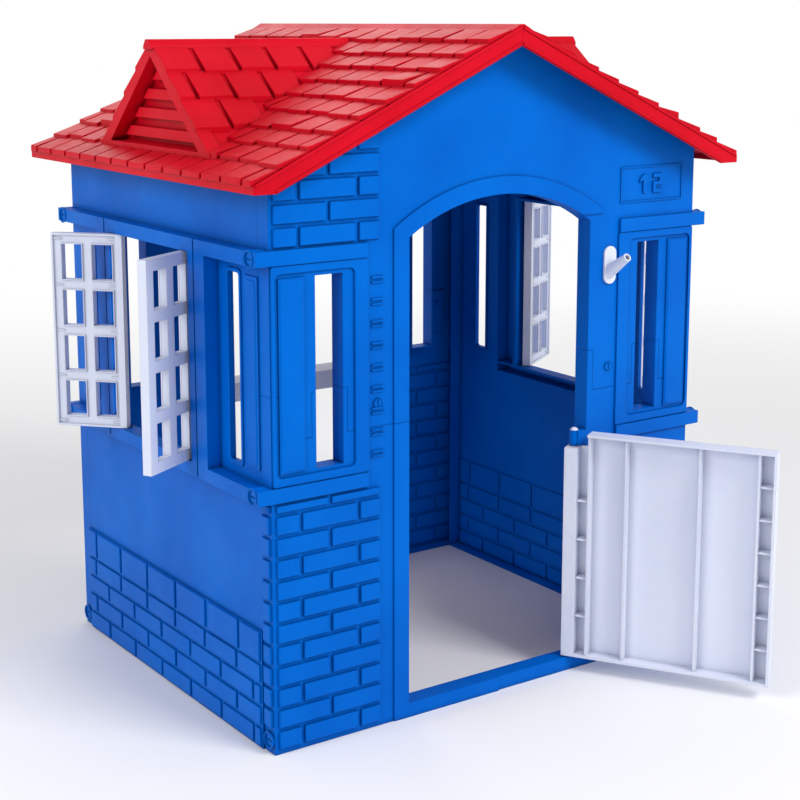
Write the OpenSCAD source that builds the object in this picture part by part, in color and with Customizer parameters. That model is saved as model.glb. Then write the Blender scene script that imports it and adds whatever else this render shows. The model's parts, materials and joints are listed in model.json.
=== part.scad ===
// Child's plastic playhouse: four moulded walls, two roof panels with dormers,
// a swinging half-door, four lattice shutters, a flag holder and a rear ledge.
// Origin: on the ground, in the middle of the front wall's foot. +Z up, the doorway faces -Y.

/* [House] */
// Width of the front wall
house_w = 984; // [900:1:1100]
// Depth from front wall face to back wall face
house_d = 800; // [740:1:900]
// Height of the roof ridge
ridge_h = 1270; // [1250:1:1400]
// Skin thickness of every moulded wall
skin = 4; // [3:0.5:6]
// Depth of the flanges behind the wall skins
wall_depth = 35; // [30:1:45]

/* [Doorway] */
// Width of the doorway
door_w = 426; // [380:1:440]
// How far the doorway stands right of the middle of the wall
door_cx = 7.5; // [0:0.5:15]
// Height of the threshold
sill_h = 28; // [22:1:40]
// Height of the top of the arch
arch_h = 966; // [940:1:1000]
// Height where the arch springs from the jambs
arch_spring = 902; // [880:1:930]
// Width of the flat moulding round the doorway
arch_trim = 33; // [20:1:40]

/* [Half-door] */
// Top of the half-door
leaf_top = 488; // [470:1:500]
// Thickness of the half-door
leaf_t = 33.5; // [28:0.5:36]
// Distance from the jamb to the hinge axis
hinge_inset = 21; // [20:1:26]
// Angle at which the half-door stands open
leaf_open = 122; // [0:1:126]
// Radius of the hinge pin
pin_r = 4; // [3:0.5:5]

/* [Windows] */
// Bottom of the window bays
bay_z0 = 488; // [480:1:510]
// Top of the window bays
bay_z1 = 874; // [860:1:880]
// How far rails, sills and side bays stand out from the side walls
bay_out = 29; // [20:1:34]
// Height of the rail over the windows
rail_h = 26; // [20:1:32]
// Half width of the side window
window_half = 152; // [130:1:160]
// Thickness of a shutter
shutter_t = 18; // [14:1:20]
// Angle at which the left front shutter stands open
left_front_open = 120; // [0:1:139]
// Angle at which the left rear shutter stands open
left_rear_open = 137; // [0:1:139]
// Angle at which the right front shutter stands open
right_front_open = 120; // [0:1:139]
// Angle at which the right rear shutter stands open
right_rear_open = 122; // [0:1:139]

/* [Roof] */
// Roof overhang beyond the front and back walls
roof_over = 59; // [45:1:70]
// Roof overhang beyond the side walls
eave_over = 60; // [50:1:80]
// Fall of the roof for each millimetre outward
roof_slope = 0.459; // [0.42:0.005:0.5]
// Thickness of the roof skin, measured upright
roof_t = 6; // [5:0.5:8]
// Height of the fascia boards
fascia_h = 35; // [28:1:45]
// Half width of a dormer at its base
dormer_half = 222; // [190:1:240]
// Height of a dormer's ridge below the main ridge
dormer_drop = 28; // [20:1:60]
// Distance from a side wall out to the dormer's face
dormer_out = 11; // [0:1:20]

/* [Hidden] */

$fn = 48;
half_w = house_w / 2;
half_d = house_d / 2;
gap = 0.3;                 // clearance between pieces that meet
run = 0.06;                // running clearance round a hinge pin
blue = "royalblue";
red = "crimson";
white = "ghostwhite";

// walls
door_half = door_w / 2;
seam_hi = 648;             // upper level of the stepped joint between wall halves
seam_lo = 568;             // lower level, at the tabs
seam_gap = 0.6;
door_left = door_cx - door_half;
door_right = door_cx + door_half;
seam_tabs = [[-464, -410], [-336, door_left], [door_right + 14, 336], [410, 464]];
slot_x = [345, 401];       // narrow window in the front and back walls
slot_z = [511, 851];
frame_x = [295, 322];      // upright moulding beside the window bay
raised_x = [424, 476];     // raised field beside the narrow window
rail_out = 6;              // rails and sills stand this far out of the front face
front_trim = 3;            // doorway moulding relief
wall_top_gap = 0.3;
rib_t = 4;                 // flange thickness

// side walls
groove_y = 185;            // groove beside the shutters
recess_y = 224;            // the corner recess of a side bay starts here
side_slot_y = [263, 300];
side_slot_z = [513, 851];
side_slot_depth = 8;
shelf_z = bay_z1 + rail_h;
bay_x = half_w + bay_out;
side_end = half_d - wall_depth - gap;
floor_z = bay_z0 - rail_h; // underside of the side bay
reveal_t = 10;             // wall of the window reveal, which its chamfer cuts into
socket_t = 6;              // wall of the reveal over and under the shutters
plinth_z = 220;            // top of the brick plinth
plinth_out = 4;

// fasteners
screw_r = 4;
head_r = 11;               // heads of the corner screws
seam_head_r = 8;           // heads of the screws in the stepped joints
head_h = 4;
corner_screw_z = [25, 475, 887];
corner_screw_y = half_d - 16;
seam_screw_x = [273, 437];
seam_screw_z = 610;

// roof
roof_half_d = half_d + roof_over;
eave_half = half_w + eave_over;
dormer_face = half_w + dormer_out;
skin_under = ridge_h - roof_t;           // underside of the skin at the middle
roof_angle = atan(roof_slope);
cap_t = 3;                 // thickness of the ridge cap
cap_l = 26;                // its width on its own panel
ridge_lap = 23;                          // the left panel laps over the ridge
roof_screw_x = [150, 420];
roof_screw_y = half_d - wall_depth / 2;
dormer_z = ridge_h - dormer_drop;
dormer_base = ridge_h - roof_slope * dormer_face;
vent_depth = 34;
vent_frame = 20;
slat_out = 14;             // louvre slats stand this far out of the recess

// half-door, drawn closed round its hinge axis
leaf_out = 9.5;              // hinge axis to the outer face
leaf_back = 12;             // the leaf reaches this far behind its axis
hinge_x = door_cx + door_half - hinge_inset;
hinge_y = -half_d + leaf_out + 1.5;
leaf_len = door_w - hinge_inset - 6;
leaf_z0 = sill_h + 3;
knuckle_r = 9;
lug_z = [460, 490];
notch_h = leaf_top - lug_z[0] + 1.5;
notch_l = 40;

// shutters
shutter_out = shutter_t / 2;
shutter_back = 10;
shutter_axis_x = bay_x - 8;
shutter_axis_y = window_half - 14;
shutter_len = shutter_axis_y - 1.5;
shutter_z = [bay_z0 + 1, bay_z1 - 1];
peg_r = 3;
peg_l = 6;

// flag holder
flag_x = 271;
flag_z = 812;
flag_bore = 5;
flag_tilt = 57;
flag_len = 69;

// rear ledge
ledge_z = [445, 487];
ledge_y = [half_d - wall_depth - 1, half_d + 33];

// ---------- placing and outlines ----------

// Moves a piece from the middle of the house to the part's own origin.
module at_threshold() {
  translate([0, half_d - wall_depth / 2, 0]) children();
}

module rect(x0, z0, x1, z1) {
  translate([x0, z0]) square([x1 - x0, z1 - z0]);
}

// A panel outline drawn in X-Z, extruded from y0 to y1.
module upright(y0, y1) {
  translate([0, y1, 0]) rotate([90, 0, 0]) linear_extrude(y1 - y0) children();
}

// A panel outline drawn in Y-Z, extruded from x0 to x1.
module sideways(x0, x1) {
  translate([x0, 0, 0]) rotate([90, 0, 90]) linear_extrude(x1 - x0) children();
}

// Wall outline under the roof, drawn in by m on every side.
module gable(m = 0) {
  top = skin_under - wall_top_gap - m * 1.1;
  x = half_w - m;
  polygon([[-x, m], [x, m], [x, top - roof_slope * x], [0, top], [-x, top - roof_slope * x]]);
}

// Doorway outline, grown by m.
module doorway(m = 0) {
  translate([door_cx, 0]) doorway_middle(m);
}

module doorway_middle(m) {
  w = door_half + m;
  rise = arch_h - arch_spring;
  r = (door_half * door_half + rise * rise) / (2 * rise);
  intersection() {
    rect(-w, sill_h - m, w, arch_h + m + 1);
    union() {
      translate([0, arch_h - r]) circle(r + m, $fn = 180);
      rect(-w - 10, sill_h - m - 1, w + 10, arch_h - r);
    }
  }
}

// Both narrow windows, grown by m.
module slots(m = 0) {
  for (s = [-1, 1])
    translate([s * (slot_x[0] + slot_x[1]) / 2, 0])
      rect(-(slot_x[1] - slot_x[0]) / 2 - m, slot_z[0] - m, (slot_x[1] - slot_x[0]) / 2 + m, slot_z[1] + m);
}

// Everything below the stepped joint, lowered by g.
module below_seam(g) {
  difference() {
    rect(-half_w - 60, -1, half_w + 60, seam_hi - g);
    for (t = seam_tabs) rect(t[0] - g, seam_lo - g, t[1] + g, seam_hi + 1);
  }
}

// Keeps one half of a wall outline: "upper" or "lower".
module half_of(part) {
  if (part == "upper")
    difference() {
      children();
      below_seam(0);
    }
  else
    intersection() {
      children();
      below_seam(seam_gap);
    }
}

// ---------- front and back walls ----------

// A rail or sill across one window bay, hooked round the corner of the house.
module front_rail(s, z0, z1) {
  x0 = frame_x[0];
  translate([s * (x0 + bay_x) / 2, -half_d - rail_out, z0])
    translate([-(bay_x - x0) / 2, 0, 0]) cube([bay_x - x0, rail_out, z1 - z0]);
  // the return block at the corner, which the corner screw passes through
  translate([s > 0 ? half_w : -bay_x, -half_d, z0])
    cube([bay_out, wall_depth, z1 - z0]);
}

// A round boss for a corner screw, along X.
module corner_boss(s, z) {
  reach = z < 100 ? plinth_out : bay_out;
  translate([s * half_w, -corner_screw_y, z]) rotate([0, s * 90, 0])
    cylinder(r = 15, h = reach);
}

module corner_bore(s, z) {
  reach = z < 100 ? plinth_out : bay_out;
  translate([s * (half_w + reach - head_h - 1.5), -corner_screw_y, z]) rotate([0, s * 90, 0])
    cylinder(r = head_r + 0.5, h = head_h + 10);
  translate([s * (half_w - skin - 10), -corner_screw_y, z]) rotate([0, s * 90, 0])
    cylinder(r = screw_r + 0.2, h = bay_out + 20);
}

// The front wall; the back wall is the same moulding turned round.
module end_wall(part) {
  color(blue)
  difference() {
    union() {
      // skin
      upright(-half_d, -half_d + skin)
        half_of(part) difference() { gable(); doorway(); slots(); }
      // flanges round the outline and the openings
      upright(-half_d, -half_d + wall_depth)
        half_of(part) difference() {
          gable();
          gable(rib_t);
        }
      upright(-half_d, -half_d + wall_depth)
        half_of(part) intersection() {
          gable();
          difference() {
            union() { doorway(rib_t); slots(rib_t); }
            doorway();
            slots();
          }
        }
      // flat moulding round the doorway
      upright(-half_d - front_trim, -half_d)
        half_of(part) difference() {
          intersection() {
            gable();
            doorway(arch_trim);
            rect(-half_w, 0, half_w, ridge_h);
          }
          doorway();
          rect(door_cx, -1, half_w, arch_spring + 12);
        }
      // upright mouldings and raised fields of the window bays
      upright(-half_d - front_trim, -half_d)
        half_of(part) for (s = [-1, 1]) {
          translate([s * (frame_x[0] + frame_x[1]) / 2, 0])
            rect(-(frame_x[1] - frame_x[0]) / 2, bay_z0, (frame_x[1] - frame_x[0]) / 2, bay_z1);
          translate([s * (raised_x[0] + raised_x[1]) / 2, 0])
            rect(-(raised_x[1] - raised_x[0]) / 2, slot_z[0], (raised_x[1] - raised_x[0]) / 2, slot_z[1]);
        }
      for (s = [-1, 1]) {
        if (part == "upper") {
          front_rail(s, bay_z1, shelf_z);
          corner_boss(s, corner_screw_z[2]);
        } else {
          front_rail(s, bay_z0 - rail_h, bay_z0);
          corner_boss(s, corner_screw_z[1]);
          corner_boss(s, corner_screw_z[0]);
        }
      }
      if (part == "lower") {
        seam_tongues();
      }
    }
    for (s = [-1, 1]) {
      for (z = corner_screw_z) corner_bore(s, z);
      for (x = roof_screw_x)
        translate([s * x, -roof_screw_y, ridge_h - roof_slope * x]) rotate([0, s * roof_angle, 0])
          translate([0, 0, -25]) cylinder(r = screw_r + 0.2, h = 40);
      for (x = seam_screw_x)
        translate([s * x, -half_d + wall_depth, seam_screw_z]) rotate([90, 0, 0]) {
          cylinder(r = screw_r + 0.2, h = wall_depth + 10);
          translate([0, 0, wall_depth - head_h / 2]) cylinder(r = seam_head_r + 0.4, h = 10);
        }
    }
  }
}

// Tongues behind the joint tabs.
module seam_tongues() {
  for (t = seam_tabs)
    translate([t[0] + 8, -half_d + skin, seam_lo - 30])
      cube([t[1] - t[0] - 16, skin, seam_hi - seam_lo + 20]);
}

// Hinge lug of the half-door, which only the front doorway has.
module hinge_lug() {
  translate([hinge_x, hinge_y, lug_z[0]]) cylinder(r = knuckle_r, h = lug_z[1] - lug_z[0]);
  translate([hinge_x, -half_d, lug_z[0]])
    cube([hinge_inset + 2, 18, lug_z[1] - lug_z[0]]);
}

module front_upper_wall() at_threshold() {
  difference() {
    union() {
      end_wall("upper");
      color(blue) number_plate();
    }
    flag_holder_bores();
  }
}

module front_lower_wall() at_threshold() {
  color(blue)
  difference() {
    union() {
      end_wall("lower");
      hinge_lug();
      // catch nub on the free jamb
      translate([door_cx - door_half, -half_d + 28, 387]) rotate([0, 90, 0]) cylinder(r = 5, h = 3);
      // socket under the threshold for the lower pivot
      translate([hinge_x, hinge_y, sill_h - 16]) cylinder(r = knuckle_r - 2, h = 16);
      translate([hinge_x - 10, -half_d, sill_h - 16]) cube([20, 14, 16]);
    }
    translate([hinge_x, hinge_y, lug_z[0] - 1])
      cylinder(r = pin_r + run, h = lug_z[1] - lug_z[0] + 2);
    translate([hinge_x, hinge_y, sill_h - 13]) cylinder(r = pin_r + run, h = 30);
  }
}

module back_upper_wall() at_threshold() rotate([0, 0, 180]) end_wall("upper");

module back_lower_wall() at_threshold() {
  difference() {
    rotate([0, 0, 180]) end_wall("lower");
    ledge_bores();
  }
}

// Raised border and plain generic numerals "12".
module number_plate() {
  x0 = 296;
  z0 = 930;
  w = 164;
  h = 70;
  upright(-half_d - 2, -half_d) {
    difference() {
      rect(x0, z0, x0 + w, z0 + h);
      rect(x0 + 3, z0 + 3, x0 + w - 3, z0 + h - 3);
    }
    rect(x0 + 58, z0 + 17, x0 + 66, z0 + 53);
    for (k = [0, 1, 2]) rect(x0 + 84, z0 + 17 + k * 14.5, x0 + 108, z0 + 24 + k * 14.5);
    rect(x0 + 84, z0 + 17, x0 + 91, z0 + 38);
    rect(x0 + 101, z0 + 31, x0 + 108, z0 + 53);
  }
}

// ---------- side walls ----------

// Cross-section of the lower side wall in X-Z, from the ground to the bay.
module side_section() {
  polygon([[-half_w, 0], [-half_w, floor_z], [-bay_x, floor_z], [-bay_x, bay_z0],
           [-half_w + skin, bay_z0], [-half_w + skin, bay_z0 - skin], [-bay_x + skin, bay_z0 - skin],
           [-bay_x + skin, floor_z + skin], [-half_w + skin, floor_z + skin], [-half_w + skin, 0]]);
}

module side_window() {
  rect(-window_half, bay_z0, window_half, bay_z1);
}

// Openings of a side wall in Y-Z.
module side_slots(m = 0) {
  for (s = [-1, 1])
    translate([s * (side_slot_y[0] + side_slot_y[1]) / 2, 0])
      rect(-(side_slot_y[1] - side_slot_y[0]) / 2 - m, side_slot_z[0] - m,
           (side_slot_y[1] - side_slot_y[0]) / 2 + m, side_slot_z[1] + m);
}

module left_side_wall() at_threshold() {
  top = skin_under - wall_top_gap - roof_slope * half_w;
  color(blue)
  difference() {
    union() {
      // lower panel with its swelling up to the bay
      translate([0, side_end, 0]) rotate([90, 0, 0]) linear_extrude(2 * side_end) side_section();
      // brick plinth
      translate([-half_w - plinth_out, -side_end, 0]) cube([plinth_out + 1, 2 * side_end, plinth_z]);
      // end flanges
      for (s = [-1, 1])
        translate([-half_w, s > 0 ? side_end - rib_t : -side_end, 0]) cube([wall_depth, rib_t, top]);
      // bottom flange
      translate([-half_w, -side_end, 0]) cube([wall_depth, 2 * side_end, rib_t]);
      // bay face between the corner recesses
      sideways(-bay_x, -bay_x + skin) difference() {
        rect(-recess_y, floor_z, recess_y, shelf_z);
        side_window();
      }
      // reveal of the window, which carries the shutter sockets
      sideways(-bay_x, -half_w + skin) difference() {
        rect(-window_half - reveal_t, bay_z0 - socket_t, window_half + reveal_t, bay_z1 + socket_t);
        side_window();
      }
      // corner recesses with their narrow windows
      sideways(-half_w, -half_w + skin) difference() {
        rect(-side_end, floor_z, side_end, top);
        rect(-recess_y + rib_t, floor_z + skin, recess_y - rib_t, shelf_z - skin);
        side_slots();
      }
      sideways(-half_w, -half_w + side_slot_depth) difference() {
        side_slots(rib_t);
        side_slots();
      }
      for (s = [-1, 1]) {
        translate([-bay_x, s > 0 ? recess_y - rib_t : -recess_y, floor_z])
          cube([bay_out + skin, rib_t, shelf_z - floor_z]);
        // rail over the recess
        translate([-bay_x, s > 0 ? recess_y - 1 : -side_end, bay_z1])
          cube([bay_out + 1, side_end - recess_y + 1, rail_h]);
        // raised field beside the corner
        sideways(-half_w - 3, -half_w)
          rect(s > 0 ? 322 : -side_end, side_slot_z[0], s > 0 ? side_end : -322, side_slot_z[1]);
      }
      // shelf on top of the bay
      translate([-bay_x, -side_end, shelf_z - skin]) cube([bay_out + skin, 2 * side_end, skin]);
      side_tongues();
    }
    shutter_sockets();
    // chamfer down both sides of the window
    translate([0, 0, bay_z0]) linear_extrude(bay_z1 - bay_z0)
      polygon([[-bay_x - 1, -window_half - reveal_t - 1], [-bay_x + reveal_t, -window_half],
               [-bay_x + reveal_t, window_half], [-bay_x - 1, window_half + reveal_t + 1]]);
    // grooves that frame the window bay
    for (s = [-1, 1])
      translate([-bay_x - 1, s * groove_y - 2, floor_z + 3]) cube([3, 4, shelf_z - floor_z]);
    for (s = [-1, 1])
      for (z = corner_screw_z)
        translate([-half_w - 1, s * corner_screw_y, z]) rotate([0, 90, 0])
          cylinder(r = screw_r + 0.2, h = 30);
  }
}

// Tongues behind the returns of the end walls, where the corner screws hold.
module side_tongues() {
  for (s = [-1, 1])
    for (z = corner_screw_z)
      translate([-half_w + skin + gap, s > 0 ? side_end - rib_t : -side_end - 30, max(z - 18, rib_t + gap)])
        cube([8, 30 + rib_t, z < 100 ? 34 : 36]);
}

module shutter_sockets() {
  for (s = [-1, 1])
    for (z = [bay_z0 - peg_l - 1, bay_z1 - 1])
      translate([-shutter_axis_x, s * shutter_axis_y, z]) cylinder(r = peg_r + run, h = peg_l + 2);
}

module right_side_wall() mirror([1, 0, 0]) left_side_wall();

// ---------- roof ----------

// Roof profile in X-Z from x0 outward to the eave, t thick.
module slope_profile(x0, top, t) {
  polygon([[-x0, top - roof_slope * x0], [-x0, top - t - roof_slope * x0],
           [-eave_half, top - t - roof_slope * eave_half], [-eave_half, top - roof_slope * eave_half]]);
}

// Fascia profile: follows the slope and is cut level at the eave.
module fascia_profile(x0) {
  intersection() {
    slope_profile(x0, ridge_h, fascia_h);
    rect(-eave_half, ridge_h - roof_slope * eave_half - 15, 0, ridge_h + 1);
  }
}

// Dormer cross-section in Y-Z, drawn in by m.
module dormer_outline(m = 0) {
  fall = (dormer_z - dormer_base) / dormer_half;
  inset = m * sqrt(1 + fall * fall);
  z1 = dormer_z - inset;
  z0 = dormer_base - 150;
  y0 = (z1 - z0) / fall;
  polygon([[-y0, z0], [y0, z0], [0, z1]]);
}

// Space above the middle of the roof skin.
module above_roof() {
  translate([0, roof_half_d, 0]) rotate([90, 0, 0]) linear_extrude(2 * roof_half_d)
    polygon([[-eave_half - 5, ridge_h - 3 - roof_slope * (eave_half + 5)], [-1, ridge_h - 3 - roof_slope],
             [-1, ridge_h + 50], [-eave_half - 5, ridge_h + 50]]);
}

module left_dormer() {
  intersection() {
    above_roof();
    difference() {
      sideways(-dormer_face, -5) dormer_outline();
      sideways(-dormer_face + vent_depth + skin, 0) dormer_outline(skin);
      sideways(-dormer_face - 1, -dormer_face + vent_depth) intersection() {
        dormer_outline(vent_frame);
        rect(-dormer_half, dormer_base + 12, dormer_half, dormer_z);
      }
    }
  }
  // louvre slats
  intersection() {
    sideways(-dormer_face + vent_depth - slat_out, -dormer_face + vent_depth + 1)
      dormer_outline(vent_frame + 10);
    for (k = [0:3])
      translate([-dormer_face + vent_depth - slat_out - 1, -dormer_half, dormer_base + 24 + k * 36])
        cube([slat_out + 4, 2 * dormer_half, 19]);
  }
}

module roof_panel(with_lap) {
  difference() {
    union() {
      difference() {
        translate([0, roof_half_d, 0]) rotate([90, 0, 0]) linear_extrude(2 * roof_half_d)
          slope_profile(with_lap ? 0 : gap, ridge_h, roof_t);
        sideways(-dormer_face + vent_depth + skin, -1) dormer_outline(skin);
      }
      left_dormer();
      for (s = [-1, 1])
        translate([0, s * roof_half_d + (s > 0 ? 0 : skin), 0]) rotate([90, 0, 0]) linear_extrude(skin)
          fascia_profile(with_lap ? 0 : gap);
      // lip along the eave
      translate([-eave_half, -roof_half_d, ridge_h - roof_slope * eave_half - 15])
        cube([skin, 2 * roof_half_d, 13]);
    }
    for (s = [-1, 1])
      for (x = roof_screw_x)
        translate([-x, s * roof_screw_y, ridge_h - roof_slope * x]) rotate([0, -roof_angle, 0]) {
          translate([0, 0, -20]) cylinder(r = screw_r + 0.2, h = 40);
        }
  }
}

module left_roof_panel() at_threshold() {
  color(red) {
    roof_panel(true);
    // ridge cap, which laps over the other panel
    translate([0, roof_half_d, 0]) rotate([90, 0, 0]) linear_extrude(2 * roof_half_d)
      polygon([[0, ridge_h - 0.01], [-cap_l, ridge_h - roof_slope * cap_l - 0.01],
               [-cap_l + 2, ridge_h + cap_t - roof_slope * (cap_l - 2)], [-4, ridge_h + cap_t],
               [4, ridge_h + cap_t], [ridge_lap, ridge_h + cap_t - roof_slope * ridge_lap],
               [ridge_lap, ridge_h + gap - roof_slope * ridge_lap], [gap, ridge_h + gap]]);
  }
}

module right_roof_panel() at_threshold() color(red) mirror([1, 0, 0]) roof_panel(false);

// ---------- half-door ----------

// The leaf closed, with its hinge axis on the Z axis.
module leaf() {
  rim = 5;
  panel = 4;
  ribs = [0.27, 0.63];
  difference() {
    union() {
      difference() {
        translate([-leaf_len, -leaf_out, leaf_z0])
          cube([leaf_len + leaf_back, leaf_t, leaf_top - leaf_z0]);
        // hollow back, open to the inside of the house
        translate([-leaf_len + rim, -leaf_out + panel, leaf_z0 + rim])
          cube([leaf_len - rim - knuckle_r - 4, leaf_t, leaf_top - leaf_z0 - 2 * rim]);
      }
      // stiles and ribs inside the hollow
      translate([-leaf_len + 30, -leaf_out, leaf_z0]) cube([rim, leaf_t - 4, leaf_top - leaf_z0]);
      translate([-notch_l, -leaf_out, leaf_z0]) cube([rim, leaf_t - 4, leaf_top - leaf_z0]);
      for (f = ribs)
        translate([-leaf_len * f - rim, -leaf_out, leaf_z0]) cube([rim, leaf_t - 8, leaf_top - leaf_z0]);
      // knuckle
      translate([0, 0, leaf_z0]) cylinder(r = knuckle_r, h = leaf_top - leaf_z0 - notch_h);
    }
    // notch that clears the hinge lug
    translate([-notch_l + rim + 1, -leaf_out - 10, leaf_top - notch_h])
      cube([notch_l + 40, leaf_t + 20, notch_h + 1]);
    // bore for the upper hinge pin
    translate([0, 0, leaf_top - notch_h - 24]) cylinder(r = pin_r + run, h = 40);
  }
  // lower pivot
  translate([0, 0, sill_h - 12]) cylinder(r = pin_r, h = 14 + leaf_z0 - sill_h);
}

module half_door() at_threshold() {
  color(white)
    translate([hinge_x, hinge_y, 0]) rotate([0, 0, leaf_open]) leaf();
}

module door_hinge_pin() at_threshold() {
  color(white) translate([hinge_x, hinge_y, 0]) {
    translate([0, 0, lug_z[0] - 22]) cylinder(r = pin_r, h = lug_z[1] - lug_z[0] + 23);
    intersection() {
      translate([0, 0, lug_z[1] - 3.5]) sphere(r = 9);
      translate([0, 0, lug_z[1] + 0.1]) cylinder(r = 9, h = 10);
    }
  }
}

// ---------- shutters ----------

// A shutter closed, axis on the Z axis, reaching towards -Y, outer face towards -X.
module shutter() {
  stile = 21.5;
  bar = 21.5;
  h = shutter_z[1] - shutter_z[0];
  w = shutter_len + shutter_back;
  pane_w = (w - 2 * stile - bar) / 2;
  pane_h = (h - 2 * stile - 3 * bar) / 4;
  color(white) {
    difference() {
      translate([-shutter_out, -shutter_len, shutter_z[0]]) cube([shutter_t, w, h]);
      for (i = [0, 1])
        for (j = [0:3])
          translate([-shutter_out - 1, -shutter_len + stile + i * (pane_w + bar),
                     shutter_z[0] + stile + j * (pane_h + bar)])
            cube([shutter_t + 2, pane_w, pane_h]);
      // hollow inner face
      translate([-shutter_out + 14, -shutter_len + 4, shutter_z[0] + 4]) cube([20, w - 18, h - 8]);
    }
    for (z = [shutter_z[0] - peg_l, shutter_z[1] - 1])
      translate([0, 0, z]) cylinder(r = peg_r, h = peg_l + 1);
  }
}

// sx, sy pick the corner: the shutter is drawn for the left rear one.
module place_shutter(sx, sy, open) {
  mirror([sx > 0 ? 1 : 0, 0, 0]) mirror([0, sy < 0 ? 1 : 0, 0])
    translate([-shutter_axis_x, shutter_axis_y, 0]) rotate([0, 0, -open]) shutter();
}

module left_front_shutter() at_threshold() place_shutter(-1, -1, left_front_open);
module left_rear_shutter() at_threshold() place_shutter(-1, 1, left_rear_open);
module right_front_shutter() at_threshold() place_shutter(1, -1, right_front_open);
module right_rear_shutter() at_threshold() place_shutter(1, 1, right_rear_open);

// ---------- small pieces ----------

module flag_holder() at_threshold() {
  plate_y = -half_d;
  color(white)
  difference() {
    union() {
      for (z = [-22, 22])
        translate([flag_x, plate_y, flag_z + z]) rotate([90, 0, 0]) cylinder(r = 15, h = 4);
      translate([flag_x - 15, plate_y - 4, flag_z - 22]) cube([30, 4, 44]);
      intersection() {
        translate([flag_x, plate_y + 6, flag_z - 17]) rotate([flag_tilt, 0, 0])
          cylinder(r1 = 14, r2 = 8, h = flag_len);
        translate([flag_x - 40, plate_y - 100, flag_z - 60]) cube([80, 100, 160]);
      }
    }
    translate([flag_x, plate_y + 6, flag_z - 17]) rotate([flag_tilt, 0, 0])
      translate([0, 0, 22]) cylinder(r = flag_bore, h = flag_len);
    for (z = [-27, 27])
      translate([flag_x, plate_y + 1, flag_z + z]) rotate([90, 0, 0]) cylinder(r = 1.8, h = 4);
  }
}

module flag_holder_bores() {
  for (z = [-27, 27])
    translate([flag_x, -half_d + skin + 1, flag_z + z]) rotate([90, 0, 0]) cylinder(r = 2, h = skin + 2);
}

// Two screws from inside the wall.
module flag_holder_screws() at_threshold() {
  color("silver")
  for (z = [-27, 27])
    translate([flag_x, -half_d + skin, flag_z + z]) rotate([90, 0, 0]) {
      translate([0, 0, -2.5]) cylinder(r = 4, h = 2.5);
      translate([0, 0, -1]) cylinder(r = 1.7, h = skin + 3.5);
    }
}

module rear_ledge() at_threshold() {
  w = door_half - gap;
  color(white)
  difference() {
    translate([-w - door_cx, ledge_y[0], ledge_z[0]])
      cube([2 * w, ledge_y[1] - ledge_y[0], ledge_z[1] - ledge_z[0]]);
    translate([-w + 8 - door_cx, ledge_y[0] + 4, ledge_z[0] - 1])
      cube([2 * w - 16, ledge_y[1] - ledge_y[0] - 8, ledge_z[1] - ledge_z[0] - 3]);
    ledge_bores();
  }
}

module ledge_bores() {
  for (s = [-1, 1])
    translate([s * (door_half - 12) - door_cx, half_d - 17, (ledge_z[0] + ledge_z[1]) / 2])
      rotate([0, s * 90, 0])
      cylinder(r = 2.7, h = 24);
}

module rear_ledge_screws() at_threshold() {
  color("silver")
  for (s = [-1, 1])
    translate([s * (door_half + rib_t) - door_cx, half_d - 17, (ledge_z[0] + ledge_z[1]) / 2])
      rotate([0, -s * 90, 0]) {
      translate([0, 0, -3]) cylinder(r = 5.5, h = 3);
      translate([0, 0, -1]) cylinder(r = 2.5, h = 13);
    }
}

// A large moulded plug screw: slotted head and shank along +Z, head on top at z = 0.
module plug_screw(shank, head) {
  color(blue)
  difference() {
    union() {
      translate([0, 0, -head_h]) cylinder(r = head, h = head_h);
      translate([0, 0, -shank]) cylinder(r = screw_r, h = shank - 1);
    }
    translate([-1.6, -head * 0.75, -1.5]) cube([3.2, head * 1.5, 3]);
  }
}

module seam_screws() {
  for (s = [-1, 1])
    for (x = seam_screw_x)
      translate([s * x, -half_d + head_h / 2, seam_screw_z]) rotate([90, 0, 0])
        translate([0, 0, head_h]) plug_screw(14, seam_head_r);
}

module front_seam_screws() at_threshold() seam_screws();
module back_seam_screws() at_threshold() rotate([0, 0, 180]) seam_screws();

module corner_screws() {
  for (z = corner_screw_z) {
    reach = z < 100 ? plinth_out : bay_out;
    translate([-(half_w + reach - 1.5), -corner_screw_y, z]) rotate([0, -90, 0])
      plug_screw(reach + 14, head_r);
  }
}

module front_left_corner_screws() at_threshold() corner_screws();
module front_right_corner_screws() at_threshold() mirror([1, 0, 0]) corner_screws();
module back_left_corner_screws() at_threshold() mirror([0, 1, 0]) corner_screws();
module back_right_corner_screws() at_threshold() rotate([0, 0, 180]) corner_screws();

module roof_screws() {
  for (s = [-1, 1])
    for (x = roof_screw_x)
      translate([-x, s * roof_screw_y, ridge_h - roof_slope * x]) rotate([0, -roof_angle, 0])
        color(red) {
          translate([0, 0, 0.1]) cylinder(r = 8, h = 2.5);
          translate([0, 0, -16]) cylinder(r = screw_r, h = 17);
        }
}

module left_roof_screws() at_threshold() roof_screws();
module right_roof_screws() at_threshold() mirror([1, 0, 0]) roof_screws();

front_upper_wall();
front_lower_wall();
back_upper_wall();
back_lower_wall();
left_side_wall();
right_side_wall();
left_roof_panel();
right_roof_panel();
half_door();
door_hinge_pin();
left_front_shutter();
left_rear_shutter();
right_front_shutter();
right_rear_shutter();
flag_holder();
flag_holder_screws();
rear_ledge();
rear_ledge_screws();
front_seam_screws();
back_seam_screws();
front_left_corner_screws();
front_right_corner_screws();
back_left_corner_screws();
back_right_corner_screws();
left_roof_screws();
right_roof_screws();
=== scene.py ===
"""Plastic playhouse: moulded walls, shingled roof with dormers, shutters and half-door."""
import json
import math
import random

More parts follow.
